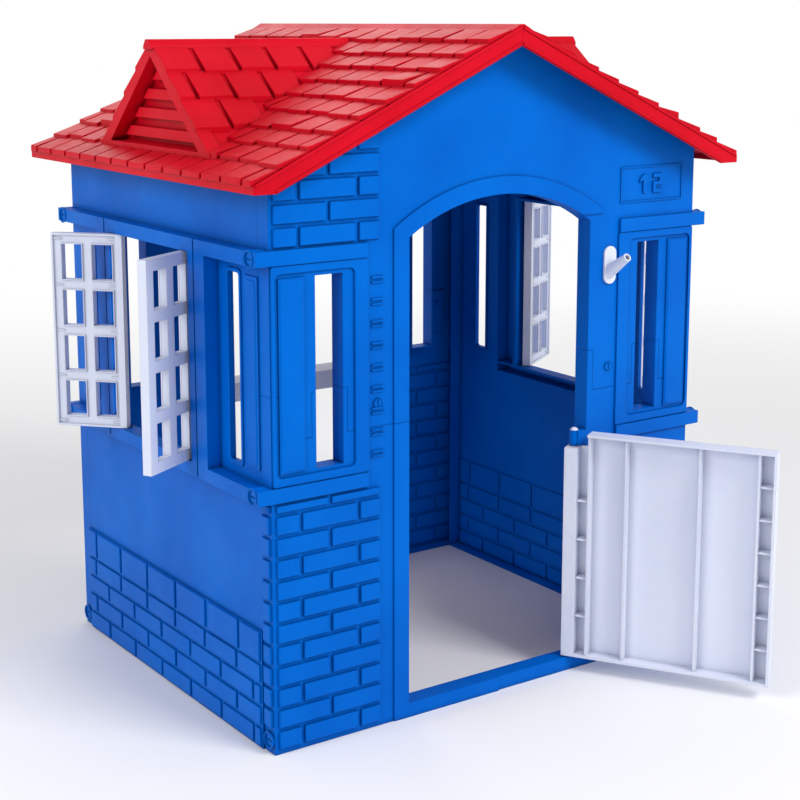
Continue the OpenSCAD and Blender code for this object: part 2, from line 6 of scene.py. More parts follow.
import bmesh
import bpy
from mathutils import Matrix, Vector


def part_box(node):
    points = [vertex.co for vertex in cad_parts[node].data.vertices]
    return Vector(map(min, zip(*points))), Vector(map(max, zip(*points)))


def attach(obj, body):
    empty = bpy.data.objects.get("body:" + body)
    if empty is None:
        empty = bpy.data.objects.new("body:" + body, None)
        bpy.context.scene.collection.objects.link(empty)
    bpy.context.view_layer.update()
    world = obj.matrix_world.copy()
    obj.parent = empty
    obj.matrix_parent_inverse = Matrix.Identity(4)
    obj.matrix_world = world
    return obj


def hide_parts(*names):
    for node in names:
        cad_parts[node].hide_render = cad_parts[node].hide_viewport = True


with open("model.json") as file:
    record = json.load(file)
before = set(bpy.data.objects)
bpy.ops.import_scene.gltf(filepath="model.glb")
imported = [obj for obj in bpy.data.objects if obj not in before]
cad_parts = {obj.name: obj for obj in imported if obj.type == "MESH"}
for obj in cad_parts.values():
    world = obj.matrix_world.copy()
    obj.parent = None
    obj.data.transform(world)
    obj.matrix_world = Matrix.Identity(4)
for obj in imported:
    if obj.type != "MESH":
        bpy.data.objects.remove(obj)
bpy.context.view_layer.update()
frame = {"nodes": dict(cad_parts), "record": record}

MM = 0.001

# ---------------------------------------------------------------- the house's sizes, in mm

SIDE_LOW, SIDE_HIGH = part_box("left_side_wall")
HOUSE_Y = (SIDE_LOW[1] + SIDE_HIGH[1]) / 2      # the middle of the house, in metres
HALF_W = 492
HALF_D = 400
SKIN = 4
BAY_X = 521
ROOF_TOP = 1270
ROOF_SLOPE = 0.459
ROOF_END = 459
EAVE = 552
WALL_TOP = 1260                                 # brickwork stops this high under the ridge
SILL_LOW = 462
RAIL_HIGH = 900
COURSE = 39.3
BRICK = 120
JOINT = 6
FIRST_BRICK = 7.4                               # foot of the lowest course on the end walls
BOND_START = -436                               # a joint of the even courses stands here
COLUMN_INNER = 266                              # the brick column beside the doorway ends here
GABLE_TOP = 1160                                # no course starts above this
DASH_ROWS = range(13, 22)                       # courses shown only by short double bars
SEAM_BARS = (568, 610, 648)                     # heights that the bars leave free for seam and screw
SEAM_SCREWS = (-437, -273, 273, 437)
SEAM_SCREW_Z = 610
FRAME_OUTER = 288
PLINTH_TOP = 220
PLINTH_FACE = 496
DORMER_TOP = 1242
DORMER_HALF = 222
DORMER_FACE = 503
DORMER_FALL = (DORMER_TOP - (ROOF_TOP - ROOF_SLOPE * DORMER_FACE)) / DORMER_HALF
HINGE = (199.5, -389)
DOOR_OPEN = math.radians(122)
DOOR_LENGTH = 399
LEAF_LOW, LEAF_HIGH = 31, 488
PLANKS = ((32, 108), (114, 250), (256, 364))     # left and right edge of each
SHUTTER_LOW, SHUTTER_HIGH = 489, 873
SHUTTER_WIDTH = 146.5
SHUTTER_BAR = 21.5                              # the lattice bars and the frame are this wide
SHUTTER_START = -10                             # the frame begins this far behind the hinge line
SHUTTER_X, SHUTTER_Y = 513, 138
SHUTTERS = {
    "left_front_shutter": (-1, -1, 120),
    "left_rear_shutter": (-1, 1, 137),
    "right_front_shutter": (1, -1, 120),
    "right_rear_shutter": (1, 1, 122),
}


def house(x, y, z):
    """A point given in mm from the middle of the house, in the part's own frame in metres."""
    return Vector((x * MM, y * MM + HOUSE_Y, z * MM))


def roof_height(x):
    return ROOF_TOP - ROOF_SLOPE * abs(x)


def dormer_height(y):
    return DORMER_TOP - DORMER_FALL * abs(y)


# ---------------------------------------------------------------- materials

def add_node(tree, kind, inputs=None, **settings):
    node = tree.nodes.new(kind)
    for key, value in settings.items():
        setattr(node, key, value)
    for key, value in (inputs or {}).items():
        node.inputs[key].default_value = value
    return node


def moulded_grain():
    """Fine pebble of the mould and the slow change of its polish."""
    group = bpy.data.node_groups.new("moulded_grain", "ShaderNodeTree")
    for name, value in (("Pebble Scale", 620.0), ("Ripple", 0.35), ("Low Gloss", 0.4), ("High Gloss", 0.55)):
        group.interface.new_socket(name, in_out="INPUT", socket_type="NodeSocketFloat").default_value = value
    group.interface.new_socket("Height", in_out="OUTPUT", socket_type="NodeSocketFloat")
    group.interface.new_socket("Roughness", in_out="OUTPUT", socket_type="NodeSocketFloat")
    link = group.links.new
    given = add_node(group, "NodeGroupInput")
    result = add_node(group, "NodeGroupOutput")
    place = add_node(group, "ShaderNodeTexCoord")
    pebble = add_node(group, "ShaderNodeTexVoronoi", {"Randomness": 1.0}, feature="SMOOTH_F1")
    fine = add_node(group, "ShaderNodeTexNoise", {"Scale": 1500.0, "Detail": 2.0})
    ripple = add_node(group, "ShaderNodeTexNoise", {"Scale": 9.0, "Detail": 3.0})
    for texture in (pebble, fine, ripple):
        link(place.outputs["Object"], texture.inputs["Vector"])
    link(given.outputs["Pebble Scale"], pebble.inputs["Scale"])
    rough_grain = add_node(group, "ShaderNodeMath", {1: 0.45}, operation="MULTIPLY")
    grain = add_node(group, "ShaderNodeMath", operation="ADD")
    swell = add_node(group, "ShaderNodeMath", operation="MULTIPLY")
    height = add_node(group, "ShaderNodeMath", operation="ADD")
    link(fine.outputs["Fac"], rough_grain.inputs[0])
    link(pebble.outputs["Distance"], grain.inputs[0])
    link(rough_grain.outputs[0], grain.inputs[1])
    link(ripple.outputs["Fac"], swell.inputs[0])
    link(given.outputs["Ripple"], swell.inputs[1])
    link(grain.outputs[0], height.inputs[0])
    link(swell.outputs[0], height.inputs[1])
    link(height.outputs[0], result.inputs["Height"])
    cloud = add_node(group, "ShaderNodeTexNoise", {"Scale": 14.0, "Detail": 5.0, "Roughness": 0.6})
    polish = add_node(group, "ShaderNodeMapRange", {"From Min": 0.3, "From Max": 0.7})
    link(place.outputs["Object"], cloud.inputs["Vector"])
    link(cloud.outputs["Fac"], polish.inputs["Value"])
    link(given.outputs["Low Gloss"], polish.inputs["To Min"])
    link(given.outputs["High Gloss"], polish.inputs["To Max"])
    link(polish.outputs["Result"], result.inputs["Roughness"])
    return group


def pigment_drift():
    """Slow clouds in the pigment, and faint pale rubs where the plastic was handled."""
    group = bpy.data.node_groups.new("pigment_drift", "ShaderNodeTree")
    for name in ("Deep", "Body", "Rub"):
        group.interface.new_socket(name, in_out="INPUT", socket_type="NodeSocketColor")
    group.interface.new_socket("Color", in_out="OUTPUT", socket_type="NodeSocketColor")
    link = group.links.new
    given = add_node(group, "NodeGroupInput")
    result = add_node(group, "NodeGroupOutput")
    place = add_node(group, "ShaderNodeTexCoord")
    cloud = add_node(group, "ShaderNodeTexNoise", {"Scale": 4.0, "Detail": 4.0, "Roughness": 0.55})
    spread = add_node(group, "ShaderNodeMapRange", {"From Min": 0.35, "From Max": 0.62})
    tint = add_node(group, "ShaderNodeMix", data_type="RGBA")
    streak = add_node(group, "ShaderNodeTexNoise", {"Scale": 75.0, "Detail": 6.0, "Roughness": 0.7})
    rubbed = add_node(group, "ShaderNodeMapRange", {"From Min": 0.66, "From Max": 0.8, "To Max": 0.22})
    scuff = add_node(group, "ShaderNodeMix", data_type="RGBA")
    link(place.outputs["Object"], cloud.inputs["Vector"])
    link(place.outputs["Object"], streak.inputs["Vector"])
    link(cloud.outputs["Fac"], spread.inputs["Value"])
    link(spread.outputs["Result"], tint.inputs["Factor"])
    link(given.outputs["Deep"], tint.inputs["A"])
    link(given.outputs["Body"], tint.inputs["B"])
    link(streak.outputs["Fac"], rubbed.inputs["Value"])
    link(rubbed.outputs["Result"], scuff.inputs["Factor"])
    link(tint.outputs["Result"], scuff.inputs["A"])
    link(given.outputs["Rub"], scuff.inputs["B"])
    link(scuff.outputs["Result"], result.inputs["Color"])
    return group


def rounded_edges_and_painted_groove_shade():
    """Every corner a little round, and painted shade: the pigment darkened by ambient occlusion down in the
    grooves.
    """
    group = bpy.data.node_groups.new("rounded_edges_and_painted_groove_shade", "ShaderNodeTree")
    group.interface.new_socket("Pigment", in_out="INPUT", socket_type="NodeSocketColor")
    group.interface.new_socket("Painted Groove Brightness", in_out="INPUT", socket_type="NodeSocketFloat")
    group.interface.new_socket("Color", in_out="OUTPUT", socket_type="NodeSocketColor")
    group.interface.new_socket("Normal", in_out="OUTPUT", socket_type="NodeSocketVector")
    link = group.links.new
    given = add_node(group, "NodeGroupInput")
    result = add_node(group, "NodeGroupOutput")
    corner = add_node(group, "ShaderNodeBevel", {"Radius": CORNER_RADIUS}, samples=4)
    groove = add_node(group, "ShaderNodeAmbientOcclusion", {"Distance": PAINTED_GROOVE_SHADE_REACH}, samples=4)
    # painted shade: the ambient occlusion of grooves and crevices becomes a darkening factor multiplied into
    # the pigment
    depth = add_node(group, "ShaderNodeMapRange", {"From Min": 0.3, "From Max": 0.9})
    shade = add_node(group, "ShaderNodeMix", {"Factor": 1.0}, data_type="RGBA", blend_type="MULTIPLY")
    link(groove.outputs["AO"], depth.inputs["Value"])
    link(given.outputs["Painted Groove Brightness"], depth.inputs["To Min"])
    link(given.outputs["Pigment"], shade.inputs["A"])
    link(depth.outputs["Result"], shade.inputs["B"])
    link(shade.outputs["Result"], result.inputs["Color"])
    link(corner.outputs["Normal"], result.inputs["Normal"])
    return group


def linear(red, green, blue):
    """A colour given as screen values from 0 to 255, as the shader wants it."""
    def channel(value):
        share = value / 255
        return share / 12.92 if share <= 0.04045 else ((share + 0.055) / 1.055) ** 2.4
    return (channel(red), channel(green), channel(blue), 1.0)


PAINTED_GROOVE_SHADE_REACH = 0.012                            # painted shade: in grooves narrower than this, ambient occlusion darkens the pigment
CORNER_RADIUS = 0.0022                          # the mould leaves no edge sharper than this
EDGES_AND_GROOVE_SHADE = rounded_edges_and_painted_groove_shade()
GRAIN = moulded_grain()
DRIFT = pigment_drift()


def plastic(name, deep, body, rub, gloss, bump, sub=0.0, sheen=(255, 255, 255), painted_groove_brightness=0.42):
    """A moulded plastic: its colours as screen values, its gloss range, the strength of its grain and how
    dark its painted groove shade gets.
    """
    material = bpy.data.materials.new(name)
    material.use_nodes = True
    tree = material.node_tree
    shader = tree.nodes["Principled BSDF"]
    shader.inputs["IOR"].default_value = 1.5
    shader.inputs["Specular IOR Level"].default_value = 0.14
    shader.inputs["Specular Tint"].default_value = linear(*sheen)
    shader.inputs["Coat Weight"].default_value = 0.02
    shader.inputs["Coat Roughness"].default_value = 0.28
    shader.inputs["Subsurface Weight"].default_value = sub
    shader.inputs["Subsurface Scale"].default_value = 0.004
    colour = add_node(tree, "ShaderNodeGroup", node_tree=DRIFT)
    colour.inputs["Deep"].default_value = linear(*deep)
    colour.inputs["Body"].default_value = linear(*body)
    colour.inputs["Rub"].default_value = linear(*rub)
    grain = add_node(tree, "ShaderNodeGroup", node_tree=GRAIN)
    grain.inputs["Low Gloss"].default_value = gloss[0]
    grain.inputs["High Gloss"].default_value = gloss[1]
    relief = add_node(tree, "ShaderNodeBump", {"Strength": bump, "Distance": 0.0004})
    # painted shade: this group darkens the base colour in grooves by ambient occlusion, and also rounds the
    # corners' normals
    edges = add_node(tree, "ShaderNodeGroup", node_tree=EDGES_AND_GROOVE_SHADE)
    edges.inputs["Painted Groove Brightness"].default_value = painted_groove_brightness
    tree.links.new(colour.outputs["Color"], edges.inputs["Pigment"])
    tree.links.new(edges.outputs["Color"], shader.inputs["Base Color"])
    tree.links.new(edges.outputs["Normal"], relief.inputs["Normal"])
    tree.links.new(grain.outputs["Roughness"], shader.inputs["Roughness"])
    tree.links.new(grain.outputs["Height"], relief.inputs["Height"])
    tree.links.new(relief.outputs["Normal"], shader.inputs["Normal"])
    return material


def zinc_plate(name):
    material = bpy.data.materials.new(name)
    material.use_nodes = True
    tree = material.node_tree
    shader = tree.nodes["Principled BSDF"]
    shader.inputs["Metallic"].default_value = 1.0
    colour = add_node(tree, "ShaderNodeGroup", node_tree=DRIFT)
    colour.inputs["Deep"].default_value = linear(165, 168, 172)
    colour.inputs["Body"].default_value = linear(196, 198, 202)
    colour.inputs["Rub"].default_value = linear(225, 226, 228)
    grain = add_node(tree, "ShaderNodeGroup", node_tree=GRAIN)
    grain.inputs["Low Gloss"].default_value = 0.22
    grain.inputs["High Gloss"].default_value = 0.4
    tree.links.new(colour.outputs["Color"], shader.inputs["Base Color"])
    tree.links.new(grain.outputs["Roughness"], shader.inputs["Roughness"])
    return material


MATERIALS = {
    "blue_plastic": plastic(
        "blue_plastic", (0, 92, 192), (0, 103, 205), (0, 118, 217), (0.4, 0.52), 0.5, sheen=(0, 150, 255)
    ),
    "red_plastic": plastic(
        "red_plastic", (192, 4, 26), (208, 8, 34), (222, 44, 60), (0.38, 0.5), 0.55, sheen=(255, 150, 160)
    ),
    # white plastic, coloured with the lavender its faces show in shade: partly its own white, partly painted
    # shade
    "white_plastic": plastic(
        "white_plastic", (214, 220, 238), (221, 226, 242), (230, 234, 247), (0.36, 0.48), 0.4,
        sub=0.1, painted_groove_brightness=0.78
    ),
    "zinc_steel": zinc_plate("zinc_steel"),
}


# ---------------------------------------------------------------- making pieces

def finish_piece(piece, body, slot, edge):
    """Gives the finish, rounds the edges by edge mm if it has any, and sets the piece on its body."""
    piece.data.materials.clear()
    piece.data.materials.append(MATERIALS[slot])
    for polygon in piece.data.polygons:
        polygon.use_smooth = edge > 0
        polygon.material_index = 0
    if edge > 0:
        round_edges(piece, edge)
    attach(piece, body)
    return piece


def round_edges(piece, edge):
    soft = piece.modifiers.new("soft_edges", "BEVEL")
    soft.width = edge * MM
    soft.segments = 2
    soft.limit_method = "ANGLE"
    soft.angle_limit = math.radians(28)
    soft.miter_outer = "MITER_ARC"
    flat = piece.modifiers.new("flat_faces", "WEIGHTED_NORMAL")
    flat.weight = 60


def piece_from(name, shape, body, slot, edge):
    """Closes a shape into a finished piece of its own."""
    bmesh.ops.recalc_face_normals(shape, faces=shape.faces)
    mesh = bpy.data.meshes.new(name)
    shape.to_mesh(mesh)
    shape.free()
    piece = bpy.data.objects.new(name, mesh)
    bpy.context.scene.collection.objects.link(piece)
    return finish_piece(piece, body, slot, edge)


def casting(node, body, slot):
    """The moulding of one CAD node: its own faces, softened at the corners by the finish."""
    shape = bmesh.new()
    shape.from_mesh(frame["nodes"][node].data)
    bmesh.ops.remove_doubles(shape, verts=shape.verts, dist=0.00002)
    bmesh.ops.recalc_face_normals(shape, faces=shape.faces)
    mesh = bpy.data.meshes.new(node + "_moulding")
    shape.to_mesh(mesh)
    shape.free()
    piece = bpy.data.objects.new(node + "_moulding", mesh)
    bpy.context.scene.collection.objects.link(piece)
    finish_piece(piece, body, slot, 0)
    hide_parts(node)
    return piece


def prism(shape, outline, place, low, high, high_outline=None):
    """A closed slab: outline at depth low, high_outline (or the same) at depth high."""
    top = high_outline or outline
    below = [shape.verts.new(place(u, v, low)) for u, v in outline]
    above = [shape.verts.new(place(u, v, high)) for u, v in top]
    shape.faces.new(below)
    shape.faces.new(above[::-1])
    count = len(outline)
    for i in range(count):
        j = (i + 1) % count
        shape.faces.new((below[i], above[i], above[j], below[j]))


def rectangle(left, bottom, right, top):
    return [(left, bottom), (right, bottom), (right, top), (left, top)]


# ---------------------------------------------------------------- brickwork

def front_face(u, v, w):
    return house(u, -HALF_D - w, v)


def back_face(u, v, w):
    return house(-u, HALF_D + w, v)


def front_inside(u, v, w):
    return house(u, -HALF_D + SKIN + w, v)


def back_inside(u, v, w):
    return house(-u, HALF_D - SKIN - w, v)


def running_bond(left, right, bottom, top, start, courses=COURSE, pitch=BRICK):
    """Brick outlines in running bond, as (left, bottom, right, top)."""
    bricks = []
    for row in range(round((top - bottom) / courses)):
        low = bottom + row * courses + JOINT / 2
        high = min(bottom + (row + 1) * courses, top) - JOINT / 2
        edge = start + (row % 2) * pitch / 2
        while edge > left:
            edge -= pitch
        while edge < right:
            near = max(edge, left) + JOINT / 2
            far = min(edge + pitch, right) - JOINT / 2
            if far - near > 8 and high - low > 8:
                bricks.append((near, low, far, high))
            edge += pitch
    return bricks


def lay_bricks(shape, bricks, place, rng, proud=5.0, under_roof=False):
    """Each brick is a low pad with sloping sides and slightly uneven height."""
    for left, bottom, right, top in bricks:
        top_left = top_right = top
        if under_roof:
            top_left = min(top, WALL_TOP - ROOF_SLOPE * abs(left))
            top_right = min(top, WALL_TOP - ROOF_SLOPE * abs(right))
            if min(top_left, top_right) < bottom + 5:
                continue
        height = proud + rng.uniform(-0.35, 0.35)
        draft = min(1.4, (top - bottom) / 5)
        foot = [(left, bottom), (right, bottom), (right, top_right), (left, top_left)]
        face = [(left + draft, bottom + draft), (right - draft, bottom + draft),
                (right - draft, top_right - draft), (left + draft, top_left - draft)]
        prism(shape, foot, place, -0.6, height, face)


def end_wall_bricks(name, place, inside):
    """The brick column on one side of a doorway, its gable end, and the faint courses inside."""
    rng = random.Random(11)
    column = running_bond(-HALF_W + 4, -COLUMN_INNER, FIRST_BRICK, SILL_LOW - 2, BOND_START)
    gable = running_bond(-HALF_W + 4, -COLUMN_INNER, RAIL_HIGH + 1, GABLE_TOP, BOND_START)
    dashes = []
    for row in DASH_ROWS:
        line = FIRST_BRICK + row * COURSE
        for step in (-4.2, 4.2):
            dashes.append((-FRAME_OUTER + 1, line + step - 2.6, -COLUMN_INNER + 6, line + step + 2.6))
    dashes = [bar for bar in dashes if not any(bar[1] - 3 < level < bar[3] + 3 for level in SEAM_BARS)]
    shape = bmesh.new()
    lay_bricks(shape, column, place, rng)
    lay_bricks(shape, gable, place, rng, under_roof=True)
    lay_bricks(shape, dashes, place, rng, proud=3.4)
    piece_from(name + "_bricks", shape, "house", "blue_plastic", 1.0)
    shape = bmesh.new()
    hidden = running_bond(-HALF_W + 10, -COLUMN_INNER, FIRST_BRICK, SILL_LOW - 2, BOND_START)
    lay_bricks(shape, hidden, inside, rng, proud=3.4)
    piece_from(name + "_inner_bricks", shape, "house", "blue_plastic", 0.8)


CORNER_FOOT = 46                                # the lowest corner courses are left off


def corner_bricks():
    """The courses that turn round the corner onto the posts."""
    rng = random.Random(17)
    shape = bmesh.new()
    for sx, sy in ((-1, -1), (1, 1)):
        def post(u, v, w, sx=sx, sy=sy):
            return house(sx * (HALF_W + w), sy * u, v)
        courses = running_bond(HALF_D - 34, HALF_D - 2, FIRST_BRICK, SILL_LOW - 2, HALF_D - 34, pitch=200)
        courses = [brick for brick in courses if brick[1] > CORNER_FOOT]
        lay_bricks(shape, courses, post, rng)
    piece_from("corner_post_bricks", shape, "house", "blue_plastic", 1.0)


PLINTH_BRICK = 120.5
CAP_LOW = 163                                   # foot of the plinth's upright cap course
CAP_JOINTS = (-364, -286, -161, -39, 82, 204, 320)


def plinth_bricks():
    """Brick plinth round the foot of both side walls, inside and out."""
    for side, name in ((-1, "left"), (1, "right")):
        rng = random.Random(23 + side)
        end = HALF_D - 36
        rows = running_bond(-end, end, 1, CAP_LOW - 2, 24, courses=40, pitch=PLINTH_BRICK)
        cap = [(near + JOINT / 2, CAP_LOW, min(near + PLINTH_BRICK, far) - JOINT / 2, PLINTH_TOP - 1)
               for near, far in zip(CAP_JOINTS, CAP_JOINTS[1:] + (end,))]

        def outer(u, v, w, side=side):
            return house(side * (PLINTH_FACE + w), u, v)

        def inner(u, v, w, side=side):
            return house(side * (HALF_W - SKIN - w), u, v)
        shape = bmesh.new()
        lay_bricks(shape, rows, outer, rng, proud=4.0)
        lay_bricks(shape, cap, outer, rng, proud=4.0)
        piece_from(name + "_plinth_bricks", shape, "house", "blue_plastic", 1.1)
        shape = bmesh.new()
        lay_bricks(shape, [b for b in rows if b[0] > -end + 6 and b[2] < end - 2], inner, rng, proud=3.4)
        lay_bricks(shape, [b for b in cap if b[0] > -end + 6], inner, rng, proud=3.4)
        piece_from(name + "_inner_plinth_bricks", shape, "house", "blue_plastic", 0.8)


NUMERAL_LOW, NUMERAL_TOP = 946.5, 983.5


def plate_numerals():
    """A 1 and a 2 in plain block strokes on the house number plate."""
    low, top = NUMERAL_LOW, NUMERAL_TOP
    one = [(353.5, low), (362.5, low), (362.5, top), (354, top),
           (345, top - 9), (345, top - 16), (353.5, top - 11)]
    two = [(379.5, low), (404.5, low), (404.5, low + 7.5), (387.5, low + 7.5),
           (387.5, low + 15), (404.5, low + 15), (404.5, top), (379.5, top),
           (379.5, top - 7.5), (396.5, top - 7.5), (396.5, top - 15), (379.5, top - 15)]
    shape = bmesh.new()
    for numeral in (one, two):
        prism(shape, numeral, front_face, 0, 3.6)
    piece_from("plate_numerals", shape, "house", "blue_plastic", 0.6)


# ---------------------------------------------------------------- roof

COURSES = 10
TABS = 13
TAB = 2 * ROOF_END / TABS
FIRST_COURSE = 20
COURSE_RUN = (EAVE - FIRST_COURSE) / COURSES
DORMER_ROWS = 4
DORMER_TAB = 78


def shingle(shape, place, near, far, left, right, rise, gap=6.4):
    """One tab: thin where it tucks under the course above, thick at its butt."""
    left, right = left + gap / 2, right - gap / 2
    tuck, butt = 2.6, rise
    lower = [(near, left, -1.0), (near, right, -1.0), (far, right, -1.0), (far, left, -1.0)]
    upper = [(near, left, tuck), (near, right, tuck), (far, right, butt), (far, left, butt)]
    verts = [shape.verts.new(place(*p)) for p in lower + upper]
    for face in ((0, 1, 2, 3), (7, 6, 5, 4), (0, 4, 5, 1), (1, 5, 6, 2), (2, 6, 7, 3), (3, 7, 4, 0)):
        shape.faces.new([verts[i] for i in face])


def under_dormer(across, along):
    """True where the dormer covers the main slope."""
    covered = (DORMER_TOP - roof_height(across)) / DORMER_FALL
    return across < DORMER_FACE - 6 and abs(along) < covered - 22


def roof_shingles(side, name):
    """Uneven courses of tabs down one slope, left off where its dormer stands."""
    rng = random.Random(31 + side)

    def slope(across, along, lift):
        return house(side * across, along, roof_height(across) + lift)
    shape = bmesh.new()
    for course in range(COURSES):
        near = FIRST_COURSE + course * COURSE_RUN
        stagger = (course % 2) * TAB / 2
        for tab in range(-1, TABS):
            left = max(-ROOF_END, -ROOF_END + tab * TAB + stagger)
            right = min(ROOF_END, -ROOF_END + (tab + 1) * TAB + stagger)
            drop = rng.choice((0, 0, 0, 3, 6))
            rise = 10.4 + rng.uniform(-1.2, 1.4) + rng.choice((0,) * 9 + (4.5,))
            if right - left < 12 or under_dormer(near + COURSE_RUN / 2, (left + right) / 2):
                continue
            far = near + COURSE_RUN + (drop if course < COURSES - 1 else 3)
            shingle(shape, slope, near - 4, far, left, right, rise)
    piece_from(name + "_roof_shingles", shape, "house", "red_plastic", 1.3)


def dormer_shingles(side, name):
    """Larger tabs on both slopes of a dormer, and the cap along its ridge."""
    rng = random.Random(47 + side)
    shape = bmesh.new()
    run = (DORMER_HALF - 12) / DORMER_ROWS
    for hand in (-1, 1):
        def slope(down, along, lift, hand=hand):
            return house(side * along, hand * down, dormer_height(down) + lift * 1.2)
        for row in range(DORMER_ROWS):
            near = 12 + row * run
            for tab in range(7):
                right = DORMER_FACE + 5 - tab * DORMER_TAB + (row % 2) * DORMER_TAB / 2
                left = right - DORMER_TAB
                right = min(right, DORMER_FACE + 5)
                drop = rng.choice((0, 0, 4))
                rise = 9.2 + rng.uniform(-0.6, 1.2)
                middle = (left + right) / 2
                if right - left < 14 or dormer_height(near + run * 0.55) < roof_height(middle) + 2:
                    continue
                shingle(shape, slope, near - 3, near + run + drop, left, right, rise, gap=10)
    piece_from(name + "_dormer_shingles", shape, "house", "red_plastic", 1.2)
    shape = bmesh.new()
    section = [(-17, dormer_height(17) + 0.5), (17, dormer_height(17) + 0.5), (16, dormer_height(16) + 6.5),
               (8, DORMER_TOP + 3.5), (-8, DORMER_TOP + 3.5), (-16, dormer_height(16) + 6.5)]

    def along_ridge(u, v, w):
        return house(side * w, u, v)
    prism(shape, section, along_ridge, 60, DORMER_FACE + 6)
    piece_from(name + "_dormer_ridge", shape, "house", "red_plastic", 1.5)


def gable_trim():
    """A bead along the lower edge of each fascia, and a rib behind it."""
    shape = bmesh.new()
    for side in (-1, 1):
        for end in (-1, 1):
            def board(u, v, w, side=side, end=end):
                return house(side * u, end * (ROOF_END + w), roof_height(u) + v)
            line = [(2, -33), (510, -33), (510, -28), (2, -28)]
            prism(shape, line, board, -1, 1.8)
            line = [(2, -5), (549, -5), (549, 0.5), (2, 0.5)]
            prism(shape, line, board, -1, 2.2)
    piece_from("gable_fascia_beads", shape, "house", "red_plastic", 0.8)


# ---------------------------------------------------------------- half-door

def leaf_place(u, v, w):
    """u from the hinge along the leaf, v up, w towards its inner side, as the leaf stands open."""
    along = Vector((-math.cos(DOOR_OPEN), -math.sin(DOOR_OPEN)))
    inward = Vector((-math.sin(DOOR_OPEN), math.cos(DOOR_OPEN)))
    spot = Vector(HINGE) + along * u + inward * w
    return house(spot.x, spot.y, v)


def half_door_details():
    """Webs in the hollow edges of the leaf, and the three planks of its outer face."""
    low, high = LEAF_LOW, LEAF_HIGH
    shape = bmesh.new()
    for k in range(1, 7):
        z = low + 5 + k * (high - low - 10) / 7
        prism(shape, rectangle(DOOR_LENGTH - 31, z - 2, DOOR_LENGTH - 4, z + 2), leaf_place, -6.5, 17)
    for k in range(1, 5):
        z = low + 5 + k * 395 / 5
        prism(shape, rectangle(13, z - 2, 36, z + 2), leaf_place, -6.5, 17)
    piece_from("half_door_webs", shape, "door", "white_plastic", 0.8)
    shape = bmesh.new()
    for left, right in PLANKS:
        foot = rectangle(left, low + 14, right, high - 14)
        face = rectangle(left + 3, low + 17, right - 3, high - 17)
        prism(shape, foot, leaf_place, -9, -12, face)
    piece_from("half_door_planks", shape, "door", "white_plastic", 1.2)


# ---------------------------------------------------------------- shutters

def shutter_place(name):
    """u from the hinge along the shutter, v up, w towards its outer face, as it stands open."""
    sx, sy, opened = SHUTTERS[name]
    angle = math.radians(opened)
    closed, outward = Vector((0, -sy)), Vector((sx, 0))
    along = closed * math.cos(angle) + outward * math.sin(angle)
    normal = outward * math.cos(angle) - closed * math.sin(angle)
    axis = Vector((sx * SHUTTER_X, sy * SHUTTER_Y))

    def place(u, v, w):
        spot = axis + along * u + normal * w
        return house(spot.x, spot.y, v)
    return place


def shutter_webs(name, body):
    """A bead round each pane, and small webs across the hollow inner face."""
    place = shutter_place(name)
    low, start, bar = SHUTTER_LOW, SHUTTER_START, SHUTTER_BAR
    pane_w = (SHUTTER_WIDTH - 3 * bar) / 2
    pane_h = (SHUTTER_HIGH - low - 5 * bar) / 4
    bead = 2.2
    shape = bmesh.new()
    for i in range(2):
        for j in range(4):
            left = start + bar + i * (pane_w + bar)
            bottom = low + bar + j * (pane_h + bar)
            right, top = left + pane_w, bottom + pane_h
            for strip in (rectangle(left - bead, bottom - bead, right + bead, bottom - 0.2),
                          rectangle(left - bead, top + 0.2, right + bead, top + bead),
                          rectangle(left - bead, bottom - 0.4, left - 0.2, top + 0.4),
                          rectangle(right + 0.2, bottom - 0.4, right + bead, top + 0.4)):
                prism(shape, strip, place, -5.5, -8.7)
    for j in range(5):
        z = low + bar / 2 + j * (pane_h + bar)
        for u in (start + 14, start + SHUTTER_WIDTH - bar):
            prism(shape, rectangle(u, z - 1.2, u + bar - 5, z + 1.2), place, -5.5, -8.2)
    piece_from(name + "_webs", shape, body, "white_plastic", 0.5)


# ---------------------------------------------------------------- small mouldings on the walls

def border(shape, place, outer, inner, low, high):
    """A raised border between two outlines with as many points each."""
    count = len(outer)
    loops = [[shape.verts.new(place(u, v, depth)) for u, v in outline]
             for outline, depth in ((outer, low), (outer, high), (inner, high), (inner, low))]
    for a in range(4):
        b = (a + 1) % 4
        for k in range(count):
            n = (k + 1) % count
            shape.faces.new((loops[a][k], loops[a][n], loops[b][n], loops[b][k]))


def circle(centre, radius, count=40):
    return [(centre[0] + radius * math.cos(2 * math.pi * k / count),
             centre[1] + radius * math.sin(2 * math.pi * k / count)) for k in range(count)]


def ring(shape, place, centre, outer, inner, low, high):
    """A flat ring standing on a wall."""
    border(shape, place, circle(centre, outer), circle(centre, inner), low, high)


def lock_rings():
    """Raised rings round the plug screws of the corners and the stepped seams."""
    shape = bmesh.new()
    for sx in (-1, 1):
        for sy in (-1, 1):
            for z, reach in ((25, HALF_W + 4), (475, BAY_X), (887, BAY_X)):
                def side_face(u, v, w, sx=sx, reach=reach):
                    return house(sx * (reach + w), u, v)
                ring(shape, side_face, (sy * 384, z), 16.2, 13.4, -1.0, 1.6)
    for place in (front_face, back_face):
        for x in SEAM_SCREWS:
            ring(shape, place, (x, SEAM_SCREW_Z), 11.6, 9.2, -1.0, 0.9)
    piece_from("screw_rings", shape, "house", "blue_plastic", 0.6)


def rounded(left, bottom, right, top, radius, steps=6):
    """A rectangle's outline with round corners."""
    points = []
    for cx, cy, start in ((right - radius, bottom + radius, -90), (right - radius, top - radius, 0),
                          (left + radius, top - radius, 90), (left + radius, bottom + radius, 180)):
        for k in range(steps + 1):
            angle = math.radians(start + 90 * k / steps)
            points.append((cx + radius * math.cos(angle), cy + radius * math.sin(angle)))
    return points


